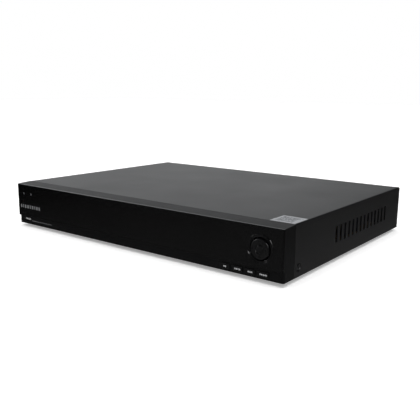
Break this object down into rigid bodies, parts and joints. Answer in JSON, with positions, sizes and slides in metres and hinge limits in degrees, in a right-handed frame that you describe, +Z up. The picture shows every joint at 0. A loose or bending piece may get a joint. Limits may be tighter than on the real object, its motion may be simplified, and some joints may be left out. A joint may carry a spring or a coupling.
{
  "type": "dvr recorder",
  "caption": "Low black desktop video recorder: steel case with side vents, glossy front with a round four-way pad and small keys, rear sockets, mains inlet, drive and fan.",
  "frame": {"origin": "middle of the recorder's outline on the plane that its feet stand on", "axes": "+X to the recorder's right seen from the front, -Y out of the front, +Z up"},
  "size_m": [0.38, 0.2918, 0.0542],
  "materials": {
    "case_paint": "satin black powder paint with a fine texture",
    "bezel_plastic": "satin black moulded plastic",
    "fascia_gloss": "smooth black plastic with a soft gloss",
    "ring_gloss": "polished black plastic",
    "lens_clear": "milky clear plastic",
    "infrared_tint": "dark red plastic that passes infrared",
    "label_paper": "satin white label",
    "foot_rubber": "matt black rubber",
    "screw_steel": "nickel-plated steel",
    "inner_plastic": "dark moulded plastic",
    "pad_plastic": "smooth black plastic",
    "key_plastic": "satin black plastic",
    "circuit_board": "green solder mask on glass-fibre board",
    "power_circuit_board": "brown paper-based board",
    "port_steel": "tin-plated steel",
    "usb_white": "white plastic",
    "brass_parts": "brass",
    "chip_black": "black epoxy",
    "bare_aluminium": "bare cast or extruded aluminium",
    "capacitor_sleeve": "shrink-sleeved parts",
    "header_plastic": "cream plastic",
    "socket_black": "black moulded plastic",
    "nickel": "nickel plate",
    "insulator_white": "white plastic",
    "gold_contact": "gold-plated brass",
    "vga_blue": "blue plastic",
    "transformer_tape": "yellow tape over the winding",
    "fan_plastic": "black moulded plastic",
    "drive_steel": "plain steel",
    "platter_mirror": "polished coated disc",
    "cable_sleeve": "soft plastic sleeve"
  },
  "bodies": {
    "case": {"chassis": "case_paint", "top_cover": "case_paint", "front_bezel": "bezel_plastic", "fascia": "fascia_gloss", "pad_trim_ring": "ring_gloss", "indicator_lenses": "lens_clear", "infrared_window": "infrared_tint", "top_label": "label_paper", "rubber_feet": "foot_rubber", "cover_screws": "screw_steel", "bezel_screws": "screw_steel", "key_board": "circuit_board", "usb_board": "circuit_board", "tact_switches": "inner_plastic", "front_leds": "lens_clear", "front_usb_shell": "port_steel", "front_usb_tongue": "usb_white", "main_board": "circuit_board", "board_standoffs": "brass_parts", "board_screws": "screw_steel", "board_chips": "chip_black", "chip_heatsink": "bare_aluminium", "board_capacitors": "capacitor_sleeve", "backup_battery": "port_steel", "board_headers": "header_plastic", "connector_housings": "socket_black", "bnc_barrels": "nickel", "bnc_insulators": "insulator_white", "bnc_contacts": "gold_contact", "rca_shells": "nickel", "rca_inserts": "insulator_white", "vga_shell": "port_steel", "vga_insert": "vga_blue", "vga_posts": "nickel", "port_shells": "port_steel", "port_inserts": "socket_black", "power_board": "power_circuit_board", "power_parts": "capacitor_sleeve", "power_transformer": "transformer_tape", "ac_inlet": "socket_black", "ac_inlet_pins": "nickel", "switch_housing": "socket_black", "fan_frame": "fan_plastic", "fan_screws": "screw_steel", "drive_base": "bare_aluminium", "drive_cover": "drive_steel", "drive_board": "circuit_board", "drive_screws": "screw_steel", "internal_cables": "cable_sleeve"},
    "nav_gimbal": {"nav_gimbal": "inner_plastic"},
    "nav_pad": {"nav_pad": "pad_plastic"},
    "ok_button": {"ok_button": "pad_plastic"},
    "key_1": {"key_1": "key_plastic"},
    "key_2": {"key_2": "key_plastic"},
    "key_3": {"key_3": "key_plastic"},
    "key_4": {"key_4": "key_plastic"},
    "rocker": {"switch_rocker": "socket_black"},
    "fan_rotor": {"fan_rotor": "fan_plastic"},
    "platters": {"drive_platters": "platter_mirror"},
    "head_arm": {"drive_head_arm": "bare_aluminium"}
  },
  "joints": [
    {"name": "pad_side_tilt", "type": "hinge", "parent": "case", "child": "nav_gimbal", "pos_m": [0.1665, -0.1371, 0.032], "axis": [0, 0, 1], "range_deg": [-2.5, 2.5], "stiffness_Nm_per_rad": 0.3},
    {"name": "pad_up_tilt", "type": "hinge", "parent": "nav_gimbal", "child": "nav_pad", "pos_m": [0.1665, -0.1371, 0.032], "axis": [1, 0, 0], "range_deg": [-2.5, 2.5], "stiffness_Nm_per_rad": 0.3},
    {"name": "ok_press", "type": "slide", "parent": "nav_pad", "child": "ok_button", "axis": [0, 1, 0], "range_m": [0, 0.0005], "stiffness_N_per_m": 500},
    {"name": "key_1_press", "type": "slide", "parent": "case", "child": "key_1", "axis": [0, 1, 0], "range_m": [0, 0.0005], "stiffness_N_per_m": 500},
    {"name": "key_2_press", "type": "slide", "parent": "case", "child": "key_2", "axis": [0, 1, 0], "range_m": [0, 0.0005], "stiffness_N_per_m": 500},
    {"name": "key_3_press", "type": "slide", "parent": "case", "child": "key_3", "axis": [0, 1, 0], "range_m": [0, 0.0005], "stiffness_N_per_m": 500},
    {"name": "key_4_press", "type": "slide", "parent": "case", "child": "key_4", "axis": [0, 1, 0], "range_m": [0, 0.0005], "stiffness_N_per_m": 500},
    {"name": "rocker_turn", "type": "hinge", "parent": "case", "child": "rocker", "pos_m": [0.129, 0.1339, 0.027], "axis": [1, 0, 0], "range_deg": [0, 20]},
    {"name": "fan_spin", "type": "hinge", "parent": "case", "child": "fan_rotor", "pos_m": [0.085, 0.1289, 0.0265], "axis": [0, 1, 0], "continuous": true},
    {"name": "platter_spin", "type": "hinge", "parent": "case", "child": "platters", "pos_m": [-0.126, -0.0613, 0.019], "axis": [0, 0, 1], "continuous": true},
    {"name": "head_arm_swing", "type": "hinge", "parent": "case", "child": "head_arm", "pos_m": [-0.054, -0.0381, 0.019], "axis": [0, 0, -1], "range_deg": [0, 28]}
  ]
}
